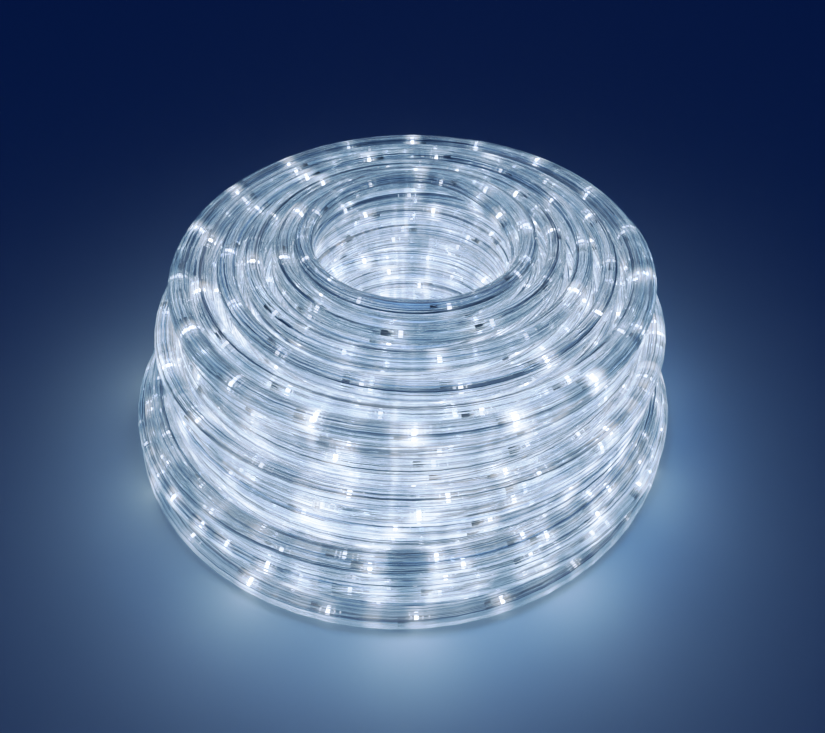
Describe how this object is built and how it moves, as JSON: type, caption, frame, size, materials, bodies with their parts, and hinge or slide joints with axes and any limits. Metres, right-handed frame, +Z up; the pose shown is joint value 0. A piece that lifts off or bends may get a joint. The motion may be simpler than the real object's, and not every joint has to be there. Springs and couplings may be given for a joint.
{
  "type": "led rope light coil",
  "caption": "Clear LED rope light wound in a loose three-tier coil around an open bore, with both rope ends capped.",
  "frame": {"origin": "on the coil's axis, at its underside, where it stands on the floor", "axes": "+Z up along the bore's axis; the camera of the picture looks along +Y, downwards; +X to its right"},
  "size_m": [0.3154, 0.3154, 0.1169],
  "materials": {
    "clear_pvc": "smooth clear PVC jacket, lit from inside by cold white LEDs",
    "cap_pvc": "translucent moulded PVC end cap"
  },
  "bodies": {
    "root": {"rope_coil": "clear_pvc", "rope_tail_inner": "clear_pvc", "rope_tail_outer": "clear_pvc", "end_cap_inner": "cap_pvc", "end_cap_outer": "cap_pvc"}
  },
  "joints": []
}
